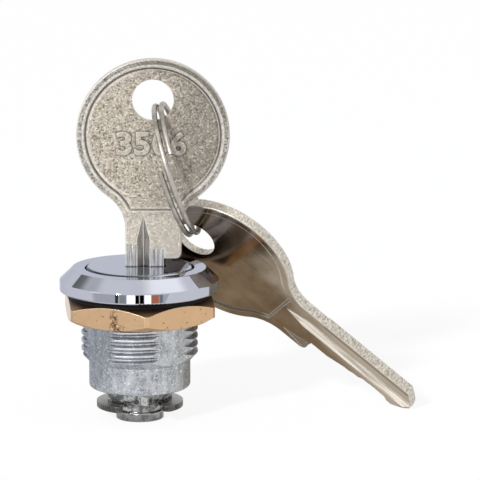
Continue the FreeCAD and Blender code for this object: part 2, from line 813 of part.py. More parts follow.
def bow_outline(sketch, inset, drop, straight):
    """Plan of the bow and neck drawn in by an inset, closed by a line at a drop below the bow's centre.

    Where the line lies below the fillets, straight sides run down to it.
    """
    inset_now = value(inset)
    radius = size("bow_radius") - inset_now
    fillet = size("bow_fillet") + inset_now
    centre = Vector(value(BOW_PLACE), size("bow_height"))
    aside = size("neck_width") / 2 + size("bow_fillet")
    below = math.sqrt((radius + fillet) ** 2 - aside ** 2)
    lean = math.atan2(below, aside)
    foot = centre.y - value(drop)
    if straight:
        sweep = 0.0
    else:
        sweep = math.asin((below - value(drop)) / fillet)
    right = centre + Vector(aside, -below)
    left = centre + Vector(-aside, -below)
    sketch.addGeometry(Part.ArcOfCircle(Part.Circle(centre, Z_AXIS, radius), -lean, math.pi + lean), False)
    sketch.addGeometry(
        Part.ArcOfCircle(Part.Circle(right, Z_AXIS, fillet), math.pi - lean, math.pi - sweep), False)
    sketch.addGeometry(Part.ArcOfCircle(Part.Circle(left, Z_AXIS, fillet), sweep, lean), False)
    reach = aside - fillet * math.cos(sweep)
    low_left = Vector(centre.x - reach, foot)
    low_right = Vector(centre.x + reach, foot)
    sketch.addGeometry(Part.LineSegment(low_left, low_right), False)
    sketch.addConstraint(Sketcher.Constraint("Tangent", 0, 1, 1, 1))
    sketch.addConstraint(Sketcher.Constraint("Tangent", 0, 2, 2, 2))
    sketch.addConstraint(Sketcher.Constraint("Horizontal", 3))
    if straight:
        sketch.addGeometry(Part.LineSegment(low_right, Vector(low_right.x, right.y)), False)
        sketch.addGeometry(Part.LineSegment(Vector(low_left.x, left.y), low_left), False)
        sketch.addConstraint(Sketcher.Constraint("Tangent", 4, 2, 1, 2))
        sketch.addConstraint(Sketcher.Constraint("Tangent", 5, 1, 2, 1))
        sketch.addConstraint(Sketcher.Constraint("Coincident", 3, 2, 4, 1))
        sketch.addConstraint(Sketcher.Constraint("Coincident", 5, 2, 3, 1))
        sketch.addConstraint(Sketcher.Constraint("Vertical", 4))
        sketch.addConstraint(Sketcher.Constraint("Vertical", 5))
    else:
        sketch.addConstraint(Sketcher.Constraint("Coincident", 3, 2, 1, 2))
        sketch.addConstraint(Sketcher.Constraint("Coincident", 3, 1, 2, 1))
    tie_point(sketch, 0, 3, BOW_PLACE, "bow_height")
    tie(sketch, "Radius", (0,), f"bow_radius - ({inset})")
    tie(sketch, "Radius", (1,), f"bow_fillet + ({inset})")
    tie(sketch, "Radius", (2,), f"bow_fillet + ({inset})")
    aside_rule = "(neck_width / 2 + bow_fillet)"
    tie(sketch, "DistanceX", (-1, 1, 1, 3), f"{BOW_PLACE} + {aside_rule}")
    tie(sketch, "DistanceX", (-1, 1, 2, 3), f"{BOW_PLACE} - {aside_rule}")
    tie(sketch, "DistanceY", (-1, 1, 3, 1), f"bow_height - ({drop})")
    return sketch


def blade_corners():
    """The blade's outline: straight back, pointed tip and the six cuts with ramps between them."""
    corners = [
        ("-blade_width / 2", "shoulder_rounding"),
        ("-blade_width / 2", "tip_drop - blade_length"),
        ("-tip_offset - tip_flat / 2", "-blade_length"),
        ("tip_flat / 2 - tip_offset", "-blade_length"),
    ]
    for number in reversed(range(WAFERS)):
        depth = f"blade_width / 2 - cut_{number + 1}"
        drop = f"-seat_level - {wafer_drop(number)}"
        corners.append((depth, f"{drop} - cut_flat / 2"))
        corners.append((depth, f"{drop} + cut_flat / 2"))
    corners.append(("blade_width / 2 - throat_cut", "-throat_length"))
    corners.append(("blade_width / 2 - throat_cut", "shoulder_rounding"))
    return corners


def panel_tool(name, side):
    """The shallow recess with sloping walls on one face of the bow."""
    wide = free_sketch(f"{name}_wide", y=f"{side} * key_thickness / 2")
    bow_outline(wide, "rim_band", "panel_drop", straight=False)
    narrow = free_sketch(f"{name}_narrow", y=f"{side} * (key_thickness / 2 - panel_depth)")
    bow_outline(narrow, "rim_band + rim_bevel", "panel_drop - rim_bevel", straight=False)
    return loft(name, [wide, narrow])


def ward_tool(name, side, centre, foot, top, point):
    """A V groove up one face of the key that ends in a long point."""
    face = f"{side} * key_thickness / 2"
    corners = [
        (f"{centre} - ward_width / 2", face),
        (f"{centre} + ward_width / 2", face),
        (centre, f"{side} * (key_thickness / 2 - ward_depth)"),
    ]
    low = outline(free_sketch(f"{name}_low", upright=False, z=foot), corners)
    high = outline(free_sketch(f"{name}_high", upright=False, z=f"{top} - {point}"), corners)
    apex = doc.addObject("Part::Vertex", f"{name}_apex")
    bind(apex, {"X": centre, "Y": face, "Z": top})
    return loft(name, [low, high, apex])


def make_key(node):
    """A key in its own frame: X across the blade, Z up the bow, origin at the shoulder's level."""
    body = doc.addObject("PartDesign::Body", f"{node}_blank")
    bow_pad = body.newObject("PartDesign::Pad", f"{node}_bow")
    bow_pad.Profile = bow_outline(body_sketch(body, f"{node}_bow_outline"), "0", "bow_height", straight=True)
    bow_pad.Midplane = True
    bind(bow_pad, {"Length": "key_thickness"})
    half = size("key_thickness") / 2
    shoulder = Vector(value(BOW_PLACE) + size("neck_width") / 2, 0, 0)
    corner = round_edges(
        body,
        f"{node}_shoulder",
        bow_pad,
        lambda edge, middle: near(middle.distanceToPoint(shoulder), 0),
        "shoulder_rounding",
    )
    foot = size("shoulder_rounding")
    rounded = round_edges(
        body,
        f"{node}_rounded",
        corner,
        lambda edge, middle: near(abs(middle.y), half) and middle.z > foot,
        "bow_rounding",
    )
    blade_pad = body.newObject("PartDesign::Pad", f"{node}_blade")
    blade_pad.Profile = outline(body_sketch(body, f"{node}_blade_outline"), blade_corners())
    blade_pad.Midplane = True
    bind(blade_pad, {"Length": "key_thickness"})
    hole = body.newObject("PartDesign::Pocket", f"{node}_hole")
    hole.Profile = disc_outline(
        body_sketch(body, f"{node}_hole_outline"), "hole_radius", BOW_PLACE, "bow_height + hole_height")
    hole.Midplane = True
    bind(hole, {"Length": "2 * key_thickness"})
    tools = []
    for face, side in (("front", -1), ("back", 1)):
        tools.append(panel_tool(f"{node}_{face}_panel", side))
        tools.append(ward_tool(
            f"{node}_{face}_ward", side, "ward_place", f"-blade_length - {OVERRUN}", "ward_top", "ward_point"))
    tools.append(ward_tool(
        f"{node}_edge_ward", 1, "edge_ward_place", f"-{OVERRUN}", "edge_ward_top", "edge_ward_point"))
    return label(cut(f"{node}_cut", body, *tools), node)


def ring_point(phase):
    """The middle between the ring's two turns at an angle round it, in the ring's own frame."""
    angle = math.radians(phase)
    radius = size("ring_radius")
    lift = size("ring_spacing") * (phase / 360 - 0.5)
    return Vector(radius * math.cos(angle), radius * math.sin(angle), lift)


def hole_point(clearance, angle):
    """Where the ring lies in a key's hole, in the key's own frame, at an angle from straight down."""
    reach = size("hole_radius") - size("ring_wire") / 2 - size(clearance)
    centre = Vector(value(BOW_PLACE), 0, size("bow_height") + size("hole_height"))
    return centre + Vector(math.sin(math.radians(angle)), 0, -math.cos(math.radians(angle))) * reach


def leaning_place(shape, held, carry, rotation, level):
    """Where a piece held at one point comes to lie once its lowest corner rests at a level.

    It leans further about an upright plane's normal through the point that carries it.
    """
    corners = [corner.Point - held for corner in shape.Vertexes]

    def lowest(lean):
        leaning = Rotation(Y_AXIS, lean) * rotation
        return min(leaning.multVec(corner).z for corner in corners) + carry.z - level

    high, low = -LEAN_RANGE, LEAN_RANGE
    while low - high > LEAN_STEP:
        middle = (low + high) / 2
        if lowest(middle) > 0:
            high = middle
        else:
            low = middle
    leaning = Rotation(Y_AXIS, high) * rotation
    return Placement(carry - leaning.multVec(held), leaning)


def least_gap(path, turns, wire):
    """Least gap between points of a coil that lie at least half a turn apart along it."""
    points = path.discretize(Number=GAP_POINTS)
    apart = math.ceil(GAP_POINTS / turns / 2)
    nearest = min(
        first.distanceToPoint(second)
        for place_of_first, first in enumerate(points)
        for second in points[place_of_first + apart:]
    )
    return nearest - wire


make_housing()
make_gasket()
make_nut()
make_plug()
make_face_disc()
make_seal()
make_stop_pin()
make_clip()
for wafer_number in range(WAFERS):
    make_wafer(wafer_number)
    make_wafer_spring(wafer_number)

key_in_lock = make_key("key_in_lock")
spare_key = make_key("spare_key")
place(key_in_lock, "keyway_offset", "0", "seat_level")

# The ring hangs from the key in the lock and carries the spare key.
ring_turns = 2 - size("ring_mouth") / 360
key_ring, ring_path = coil("ring_wire_coil", size("ring_radius"), size("ring_spacing"), ring_turns, "ring_wire")
label(key_ring, "key_ring")
ring_gap = least_gap(ring_path.Shape, ring_turns, size("ring_wire"))
print(f"Least gap between the turns of the split ring: {ring_gap:.3f} mm")

ring_rotation = Rotation(size("ring_yaw"), size("ring_tilt"), size("ring_roll"))
hang = Vector(size("keyway_offset"), 0, size("seat_level")) + hole_point("hang_clearance", size("hang_angle"))
ring_base = hang - ring_rotation.multVec(ring_point(size("hang_phase")))
start_turn = size("ring_mouth") / 2 + size("ring_mouth_turn")
start = Placement(Vector(0, 0, size("ring_spacing") * (start_turn / 360 - 1)), Rotation(Z_AXIS, start_turn))
key_ring.Placement = Placement(ring_base, ring_rotation) * start

doc.recompute()
spare_rotation = Rotation(size("spare_yaw"), size("spare_tilt"), size("spare_roll"))
carry = ring_base + ring_rotation.multVec(ring_point(size("carry_phase")))
held = hole_point("carry_clearance", HALF_TURN + size("carry_angle"))
spare_key.Placement = leaning_place(spare_key.Shape, held, carry, spare_rotation, -value(TAIL_DROP))

doc.recompute()
for thing in doc.Objects:
    if "Invalid" in thing.State or "Error" in thing.State:
        raise RuntimeError(f"{thing.Name} could not be built: {thing.State}")
for thing in subparts:
    if thing.Shape.isNull() or not thing.Shape.isValid() or len(thing.Shape.Solids) != 1:
        raise RuntimeError(f"{thing.Label} is not one valid solid")

os.makedirs("parts", exist_ok=True)
for thing in subparts:
    thing.Shape.exportStep(f"parts/{thing.Label}.step")
    print(f"{thing.Label}: {thing.Shape.Volume:.2f} mm3")
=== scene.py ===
import math
from types import SimpleNamespace

import bpy
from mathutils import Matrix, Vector


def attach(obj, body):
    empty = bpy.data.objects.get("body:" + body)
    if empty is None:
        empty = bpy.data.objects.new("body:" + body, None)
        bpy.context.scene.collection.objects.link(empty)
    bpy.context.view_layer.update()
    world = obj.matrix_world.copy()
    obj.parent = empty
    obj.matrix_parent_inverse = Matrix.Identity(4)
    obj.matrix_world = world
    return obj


# Enclosure lock with two keys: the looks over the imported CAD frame.
# Lengths are in metres. MM turns a size in millimetres into metres.

MM = 0.001
FLOOR_LEVEL = -24.72 * MM

RIGHT, LEFT = (1, 0, 0), (-1, 0, 0)
AWAY = (0, 1, 0)
UP = (0, 0, 1)
NONE = (0, 0, 0)

# The photograph's view: along +Y and a little downwards, through a long lens.
ELEVATION = math.radians(10.8)
AIM = Vector((18.93, 0, 9.4)) * MM
DISTANCE = 0.7
SENSOR = 36.0
LENS = 279.8

# Where the keys lie: the seat of the bow, then the axes across the blade, from the
# front to the back, and along the blade to the bow.
KEY_PLACE = (Vector((1.2, 0, 6.0)) * MM, Vector(RIGHT), Vector(AWAY), Vector(UP))
SPARE_PLACE = (
    Vector((34.6124, 7.1608, -9.9545)) * MM,
    Vector((-0.45149, 0.71400, -0.53513)),
    Vector((-0.45534, -0.70013, -0.54998)),
    Vector((-0.76735, -0.00464, 0.64121)),
)

# The bow's outline in the key's axes: a circle, and the fillets of the neck.
BOW_MIDDLE = (1.5 * MM, 0, 23.4 * MM)
BOW_RADIUS = 14.35 * MM
FILLET_RADIUS = 7.4 * MM
LEFT_FILLET = (-11.15 * MM, 0, 5.71 * MM)
RIGHT_FILLET = (14.15 * MM, 0, 5.71 * MM)
GROOVE_TOP = 8.7 * MM

# The number stamped on the key in the lock.
NUMBER = "3506"
NUMBER_HEIGHT = 4.55 * MM
NUMBER_WIDTH = 3.0 * MM
NUMBER_PITCH = 3.38 * MM
NUMBER_CENTRE = Vector((2.36, -0.725, 27.85)) * MM
NUMBER_RISE = 0.27 * MM

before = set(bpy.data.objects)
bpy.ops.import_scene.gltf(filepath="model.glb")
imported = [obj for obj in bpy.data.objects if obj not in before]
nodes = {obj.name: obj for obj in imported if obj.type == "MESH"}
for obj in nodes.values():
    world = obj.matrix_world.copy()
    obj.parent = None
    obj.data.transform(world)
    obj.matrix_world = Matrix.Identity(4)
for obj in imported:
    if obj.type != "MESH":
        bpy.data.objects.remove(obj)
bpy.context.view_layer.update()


# Node helpers. A share goes from nothing at 0 to all at 1.

def add(tree, kind, inputs=None, **settings):
    """A shader node with its settings, and its inputs linked or set."""
    made = tree.nodes.new(kind)
    for name, setting in settings.items():
        setattr(made, name, setting)
    for key, source in (inputs or {}).items():
        if isinstance(source, bpy.types.NodeSocket):
            tree.links.new(source, made.inputs[key])
        else:
            made.inputs[key].default_value = source
    return made


def finish(name, metallic=1.0):
    """A material on a Principled shader, and the tree and shader to work on."""
    material = bpy.data.materials.new(name)
    material.use_nodes = True
    tree = material.node_tree
    shader = tree.nodes["Principled BSDF"]
    shader.inputs["Metallic"].default_value = metallic
    return material, tree, shader


def place(tree):
    """The point on the piece, in the frame of its body."""
    return add(tree, "ShaderNodeTexCoord").outputs["Object"]


def facing(tree):
    """The surface's own direction, in the frame of its body."""
    return add(tree, "ShaderNodeTexCoord").outputs["Normal"]


def math_node(tree, operation, first, second=0.0):
    inputs = {0: first, 1: second}
    return add(tree, "ShaderNodeMath", inputs, operation=operation).outputs["Value"]


def plus(tree, first, second):
    return math_node(tree, "ADD", first, second)


def minus(tree, first, second):
    return math_node(tree, "SUBTRACT", first, second)


def times(tree, first, *others):
    """The product of numbers, and so the share where all of them hold."""
    for other in others:
        first = math_node(tree, "MULTIPLY", first, other)
    return first


def larger(tree, first, *others):
    for other in others:
        first = math_node(tree, "MAXIMUM", first, other)
    return first


def smaller(tree, first, second):
    return math_node(tree, "MINIMUM", first, second)


def size_of(tree, number):
    return math_node(tree, "ABSOLUTE", number)


def vector_math(tree, operation, first, second=NONE):
    """What a vector operation gives: a number where it measures, a vector elsewhere."""
    made = add(tree, "ShaderNodeVectorMath", {0: first, 1: second}, operation=operation)
    measures = operation in ("DOT_PRODUCT", "LENGTH", "DISTANCE")
    return made.outputs["Value" if measures else "Vector"]


def along(tree, vector, axis):
    """How far a vector reaches along an axis."""
    return vector_math(tree, "DOT_PRODUCT", vector, axis)


def axes(tree, vector, first, second, third):
    """A vector in axes of its own, each stretched as long as it is given."""
    parts = {name: along(tree, vector, axis) for name, axis in zip("XYZ", (first, second, third))}
    return add(tree, "ShaderNodeCombineXYZ", parts).outputs["Vector"]


def noise(tree, vector, scale, detail=3.0, roughness=0.5):
    inputs = {"Vector": vector, "Scale": scale, "Detail": detail, "Roughness": roughness}
    return add(tree, "ShaderNodeTexNoise", inputs).outputs["Fac"]


def cells(tree, vector, scale):
    return add(tree, "ShaderNodeTexVoronoi", {"Vector": vector, "Scale": scale}).outputs


def grains(tree, vector, scale):
    """Grains that each have a level of their own."""
    colour = cells(tree, vector, scale)["Color"]
    return add(tree, "ShaderNodeSeparateColor", {"Color": colour}).outputs["Red"]


def spread(tree, level, low, high, to_low=0.0, to_high=1.0):
    """A level between low and high spread over another range, and held to it."""
    inputs = {"Value": level, "From Min": low, "From Max": high,
              "To Min": to_low, "To Max": to_high}
    return add(tree, "ShaderNodeMapRange", inputs).outputs["Result"]


def near(tree, level, middle, reach):
    """A line: nothing from the first reach off its middle, all within the second."""
    return spread(tree, size_of(tree, minus(tree, level, middle)), *reach)


def blend_level(tree, share, first, second):
    """A number between two, given as sockets or as numbers."""
    inputs = {0: share, 2: first, 3: second}
    return add(tree, "ShaderNodeMix", inputs, data_type="FLOAT").outputs[0]


def blend_colour(tree, share, first, second):
    """A colour between two, given as sockets or as three numbers."""
    made = add(tree, "ShaderNodeMix", {0: share}, data_type="RGBA")
    for socket, colour in ((6, first), (7, second)):
        if isinstance(colour, bpy.types.NodeSocket):
            tree.links.new(colour, made.inputs[socket])
        else:
            made.inputs[socket].default_value = (*colour, 1)
    return made.outputs[2]


def coat(tree, colour, *layers):
    """A colour with others laid over it in turn, each given as its share and colour."""
    for share, layer in layers:
        colour = blend_colour(tree, share, colour, layer)
    return colour


def bump(tree, height, distance, under=None):
    inputs = {"Height": height, "Distance": distance, "Strength": 1.0}
    if under is not None:
        inputs["Normal"] = under
    return add(tree, "ShaderNodeBump", inputs).outputs["Normal"]


def rounded_edges(tree, radius):
    """The surface's direction with its sharp edges rounded."""
    return add(tree, "ShaderNodeBevel", {"Radius": radius}, samples=4).outputs["Normal"]


def soft_edges(tree, radius, full=0.96):
    """The direction with rounded edges, and how near an edge is."""
    rounded = rounded_edges(tree, radius)
    plain = add(tree, "ShaderNodeNewGeometry").outputs["Normal"]
    return rounded, spread(tree, vector_math(tree, "DOT_PRODUCT", rounded, plain), 0.999, full)


def crevices(tree, reach, low, high):
    """How deep in a corner or hollow the point sits, from nothing in the open to one."""
    inputs = {"Distance": reach}
    open_share = add(tree, "ShaderNodeAmbientOcclusion", inputs, samples=8).outputs["AO"]
    return spread(tree, open_share, high, low)


def use(tree, shader, **sources):
    """Links sockets to the shader by name, with _ for a space."""
    for name, source in sources.items():
        tree.links.new(source, shader.inputs[name.replace("_", " ")])


def dress(name, material):
    """Gives a CAD node its material in every slot."""
    slots = nodes[name].material_slots
    if not slots:
        nodes[name].data.materials.append(material)
    for material_slot in nodes[name].material_slots:
        material_slot.link = "OBJECT"
        material_slot.material = material


# Colours of the chrome, zinc, cast zinc, clip, rubber and brass.

# Painted shade, laid into crevices and hollows.
CREVICE_SHADE = (0.03, 0.028, 0.025)
CHROME = (0.50, 0.515, 0.59)
CHROME_HAZE = (0.46, 0.47, 0.545)
CHROME_EDGE_HIGHLIGHT = (0.64, 0.65, 0.69)
CHROME_GRAZING = (0.72, 0.74, 0.80, 1)
ZINC = (0.66, 0.68, 0.70)
ZINC_BRIGHT = (0.82, 0.84, 0.86)
ZINC_MIDDLE = (0.52, 0.54, 0.57)
ZINC_DARK = (0.17, 0.18, 0.195)
ZINC_BLUE_LIT = (0.22, 0.24, 0.29)
ZINC_SHADE = (0.30, 0.30, 0.29)
ZINC_HOLLOW = (0.07, 0.075, 0.08)
CAST = (0.56, 0.565, 0.56)
CAST_DARK = (0.15, 0.152, 0.15)
CAST_GRAIN = (0.20, 0.20, 0.20)
CAST_FOOT = (0.13, 0.132, 0.13)
CAST_EDGE_HIGHLIGHT = (0.84, 0.84, 0.83)
CLIP_DARK = (0.035, 0.033, 0.03)
CLIP_OILED = (0.11, 0.105, 0.10)
CLIP_DUSTY = (0.24, 0.23, 0.21)
CLIP_LIT_TOP = (0.33, 0.325, 0.31)
CLIP_EDGE_HIGHLIGHT = (0.48, 0.47, 0.45)
RUBBER = (0.004, 0.004, 0.004)
RUBBER_DUST = (0.022, 0.021, 0.019)
BRASS = (0.68, 0.455, 0.275)
BRASS_CLOUD = (0.64, 0.42, 0.245)
BRASS_EDGE_HIGHLIGHT = (0.82, 0.63, 0.45)
BRASS_DEEP = (0.56, 0.35, 0.185)
BRASS_SHADE = (0.42, 0.29, 0.18)
BRASS_GLARE = (0.88, 0.81, 0.72)
BRASS_DARK = (0.13, 0.07, 0.04)

# Bands on the lock, each from where its effect starts to where it is full: heights,
# distances from the lock's axis, and places across it.
CHROME_FOOT = (-0.12 * MM, -0.02 * MM)
THREAD_FOOT = (-12.5 * MM, -12.3 * MM)
END_DISC_FOOT = (-23.0 * MM, -23.5 * MM)
THREAD_CREST = (10.75 * MM, 10.9 * MM)
THREAD_ROOT = (10.85 * MM, 10.45 * MM)
BLUE_LIT_SIDE = (-1 * MM, -8 * MM)
SHADED_SIDE = (4.5 * MM, 9 * MM)
FAR_LEFT = (-7 * MM, -9 * MM)
LEFT_OF_MIDDLE = (0.0, -2 * MM)

# Smudges on the nut: the place in millimetres, how each axis is squeezed, the reach.
NUT_DIRT = (((-4.4, -12.7, -3.5), (1, 1, 0.4), 1.1), ((-3.2, -12.9, -4.9), (0.4, 1, 1.2), 1.2))


def chrome_and_zinc():
    """Mirror chrome on the flange, blasted and plated casting on the barrel under it."""
    material, tree, shader = finish("chromed_casting")
    shader.inputs["Specular Tint"].default_value = CHROME_GRAZING
    point = place(tree)
    across = along(tree, point, RIGHT)
    height = along(tree, point, UP)
    from_axis = vector_math(tree, "LENGTH", axes(tree, point, RIGHT, AWAY, NONE))
    grain = noise(tree, point, 3300, detail=4, roughness=0.7)
    patch = noise(tree, axes(tree, point, RIGHT, AWAY, (0, 0, 0.5)), 750, detail=4, roughness=0.6)
    highlight_streak = noise(tree, axes(tree, point, RIGHT, AWAY, (0, 0, 0.3)), 900)
    hollow = crevices(tree, 1.0 * MM, 0.32, 0.66)
    flank = spread(tree, size_of(tree, along(tree, facing(tree), UP)), 0.2, 0.4)
    root = times(tree, flank, spread(tree, from_axis, *THREAD_ROOT, 0.0, 0.85),
                 spread(tree, height, *THREAD_FOOT), spread(tree, across, *FAR_LEFT))
    zinc = coat(tree, ZINC_DARK,
                (spread(tree, grain, 0.36, 0.64), ZINC_MIDDLE),
                (spread(tree, patch, 0.38, 0.62, 0.0, 0.55), ZINC),
                # Painted light: the barrel's left is tinted by blue light.
                (spread(tree, across, *BLUE_LIT_SIDE, 0.0, 0.35), ZINC_BLUE_LIT),
                # Painted highlight: upright bright streaks, as of reflections.
                (spread(tree, highlight_streak, 0.52, 0.66, 0.0, 0.3), ZINC_BRIGHT),
                # Painted highlight on the thread's crests.
                (spread(tree, from_axis, *THREAD_CREST, 0.0, 0.5), ZINC_BRIGHT),
                (spread(tree, across, *SHADED_SIDE, 0.0, 0.5), ZINC_SHADE),
                # Painted glints: single grains made bright.
                (spread(tree, grains(tree, point, 3800), 0.85, 0.98, 0.0, 0.65), ZINC_BRIGHT),
                # Painted shade in the hollows.
                (hollow, ZINC_HOLLOW),
                # Painted shade in the thread's roots, on the barrel's left.
                (root, ZINC_HOLLOW))
    film = noise(tree, point, 260, detail=2)
    chrome = coat(tree, CHROME,
                  (spread(tree, film, 0.4, 0.7, 0.0, 0.3), CHROME_HAZE),
                  # Painted shade in the chrome's hollows, left of the middle.
                  (times(tree, hollow, spread(tree, across, *LEFT_OF_MIDDLE)), ZINC_HOLLOW))
    chromed = spread(tree, height, *CHROME_FOOT)
    rounded, edge = soft_edges(tree, 0.10 * MM)
    # Painted highlight: the edges are painted lighter.
    colour = coat(tree, zinc, (chromed, chrome), (times(tree, edge, 0.6), CHROME_EDGE_HIGHLIGHT))
    scratch = noise(tree, axes(tree, point, RIGHT, (0, 0.08, 0), UP), 3200, detail=2)
    chrome_rough = spread(tree, scratch, 0.55, 0.8, 0.03, 0.08)
    zinc_rough = spread(tree, grain, 0.35, 0.65, 0.48, 0.27)
    relief = plus(tree, grain, times(tree, patch, 1.2))
    relief = times(tree, relief, blend_level(tree, chromed, 1.0, 0.0))
    use(tree, shader, Base_Color=colour,
        Roughness=blend_level(tree, chromed, zinc_rough, chrome_rough),
        Normal=bump(tree, relief, 0.045 * MM, under=rounded))
    return material


def chrome_disc():
    """Mirror chrome with faint turning marks and handling haze."""
    material, tree, shader = finish("disc_chrome")
    shader.inputs["Specular Tint"].default_value = CHROME_GRAZING
    point = place(tree)
    film = noise(tree, point, 330)
    fine = noise(tree, axes(tree, point, RIGHT, (0, 0.1, 0), UP), 3600, detail=2)
    # Painted reflection: the side facing left and to the front is darkened, as if it mirrored
    # something dark.
    dark_reflection = spread(tree, along(tree, facing(tree), (-0.75, -0.66, 0)), 0.2, 0.45)
    colour = coat(tree, CHROME,
                  (spread(tree, film, 0.4, 0.7, 0.0, 0.4), CHROME_HAZE),
                  (dark_reflection, ZINC_HOLLOW))
    use(tree, shader, Base_Color=colour,
        Roughness=spread(tree, fine, 0.5, 0.85, 0.03, 0.09),
        Normal=bump(tree, film, 0.003 * MM, under=rounded_edges(tree, 0.08 * MM)))
    return material


def rubber():
    """Black moulded rubber with a dry, dusty skin."""
    material, tree, shader = finish("black_rubber", metallic=0.0)
    shader.inputs["Specular IOR Level"].default_value = 0.15
    point = place(tree)
    skin = noise(tree, point, 2600, detail=4)
    dust = noise(tree, point, 700, detail=5, roughness=0.7)
    use(tree, shader,
        Base_Color=coat(tree, RUBBER, (spread(tree, dust, 0.55, 0.8, 0.0, 0.5), RUBBER_DUST)),
        Roughness=spread(tree, skin, 0.3, 0.7, 0.5, 0.7),
        Normal=bump(tree, skin, 0.02 * MM))
    return material


def brass_nut():
    """Satin tumbled brass with pin pits, a few dark smudges and edges painted paler as a painted
    highlight.

    Painted light: facets turned a little to the left are painted darker as shade, the far left
    facets are washed out as glare, and the upper chamfer is dark as shade, as the photograph's
    light leaves them.
    """
    material, tree, shader = finish("nut_brass")
    point = place(tree)
    cloud = noise(tree, point, 300, detail=4, roughness=0.6)
    grain = noise(tree, point, 3400)
    leftward = along(tree, facing(tree), LEFT)
    pit_field = noise(tree, point, 500, detail=2)
    pits = times(tree, spread(tree, cells(tree, point, 900)["Distance"], 0.22, 0.1),
                 spread(tree, pit_field, 0.46, 0.56))
    dirt = 0.0
    for spot, squeeze, reach in NUT_DIRT:
        centre = Vector([a * b for a, b in zip(spot, squeeze)]) * MM
        away = vector_math(tree, "DISTANCE", vector_math(tree, "MULTIPLY", point, squeeze), centre)
        dirt = larger(tree, dirt, spread(tree, away, reach * MM, 0.5 * MM))
    smear = spread(tree, noise(tree, point, 1900, detail=5, roughness=0.75), 0.44, 0.54)
    marks = larger(tree, times(tree, pits, 0.75), times(tree, dirt, smear))
    upward = spread(tree, along(tree, facing(tree), UP), 0.25, 0.5)
    shaded = larger(tree, crevices(tree, 5.0 * MM, 0.5, 0.95), 0.55)
    rounded, edge = soft_edges(tree, 0.16 * MM)
    colour = coat(tree, BRASS_CLOUD,
                  (spread(tree, cloud, 0.3, 0.72), BRASS),
                  (spread(tree, grain, 0.35, 0.7, 0.0, 0.35), BRASS_DEEP),
                  # Painted shade on facets turned a little to the left, and painted glare on the
                  # far left ones.
                  (spread(tree, leftward, 0.2, 0.4, 0.0, 0.35), BRASS_SHADE),
                  (spread(tree, leftward, 0.75, 0.9, 0.0, 0.5), BRASS_GLARE),
                  (marks, BRASS_DARK),
                  # Painted shade on the upper chamfer, under the gasket.
                  (times(tree, upward, shaded), BRASS_DARK),
                  # Painted highlight: the edges are painted paler.
                  (times(tree, edge, 0.75), BRASS_EDGE_HIGHLIGHT))
    relief = minus(tree, times(tree, grain, 0.3), marks)
    use(tree, shader, Base_Color=colour,
        Roughness=spread(tree, grain, 0.3, 0.7, 0.5, 0.36),
        Normal=bump(tree, relief, 0.03 * MM, under=rounded))
    return material


def cast_zinc():
    """The plug's rough cast zinc, with edges painted bright as painted highlight, painted shade in
    its hollows, and painted shade towards its foot.
    """
    material, tree, shader = finish("plug_zinc")
    point = place(tree)
    lumps = noise(tree, point, 800)
    grain = noise(tree, point, 2600, detail=2)
    foot = spread(tree, along(tree, point, UP), *END_DISC_FOOT, 0.0, 0.6)
    rounded, edge = soft_edges(tree, 0.14 * MM)
    colour = coat(tree, CAST_DARK,
                  (spread(tree, lumps, 0.40, 0.58), CAST),
                  (spread(tree, grain, 0.35, 0.55, 0.35, 0.0), CAST_GRAIN),
                  # Painted shade in the hollows.
                  (crevices(tree, 1.6 * MM, 0.35, 0.9), CREVICE_SHADE),
                  # Painted shade at the foot of the end disc.
                  (foot, CAST_FOOT),
                  # Painted highlight: the edges are painted bright.
                  (times(tree, edge, 0.7), CAST_EDGE_HIGHLIGHT))
    relief = plus(tree, lumps, times(tree, grain, 0.15))
    use(tree, shader, Base_Color=colour,
        Roughness=spread(tree, grain, 0.3, 0.7, 0.30, 0.18),
        Normal=bump(tree, relief, 0.22 * MM, under=rounded))
    return material


def clip_steel():
    """Stamped spring steel, oiled and dark, with a painted highlight along its sheared edges, a
    painted lit top and painted shade in its crevices.
    """
    material, tree, shader = finish("clip_steel")
    point = place(tree)
    cloud = noise(tree, point, 600, detail=4)
    fine = noise(tree, point, 2600)
    upward = spread(tree, along(tree, facing(tree), UP), 0.5, 0.8, 0.0, 0.75)
    rounded, edge = soft_edges(tree, 0.12 * MM)
    colour = coat(tree, CLIP_DARK,
                  (spread(tree, cloud, 0.35, 0.65), CLIP_OILED),
                  (spread(tree, fine, 0.5, 0.7, 0.0, 0.4), CLIP_DUSTY),
                  # Painted light: faces turned upwards are lighter.
                  (upward, CLIP_LIT_TOP),
                  # Painted shade in the crevices.
                  (crevices(tree, 2.0 * MM, 0.3, 0.75), CREVICE_SHADE),
                  # Painted highlight: the edges are painted light.
                  (times(tree, edge, 0.55), CLIP_EDGE_HIGHLIGHT))
    use(tree, shader, Base_Color=colour,
        Roughness=spread(tree, fine, 0.3, 0.7, 0.24, 0.4),
        Normal=bump(tree, fine, 0.02 * MM, under=rounded))
    return material


def drawn_metal(name, light, dark, roughness):
    """Drawn wire or ground strip with fine upright lines."""
    material, tree, shader = finish(name)
    point = place(tree)
    drawn = noise(tree, axes(tree, point, RIGHT, AWAY, (0, 0, 0.1)), 3000)
    cloud = noise(tree, point, 500, detail=2)
    colour = coat(tree, light,
                  (spread(tree, cloud, 0.35, 0.65), dark),
                  # Painted shade in the crevices.
                  (crevices(tree, 0.8 * MM, 0.35, 0.9), CREVICE_SHADE))
    use(tree, shader, Base_Color=colour,
        Roughness=spread(tree, drawn, 0.3, 0.7, roughness * 0.7, roughness * 1.4),
        Normal=bump(tree, drawn, 0.012 * MM))
    return material


# Colours of the keys' nickel: the blasted front, the polished back, the ground edge,
# the grooves, the recess's sloping wall and the digits.

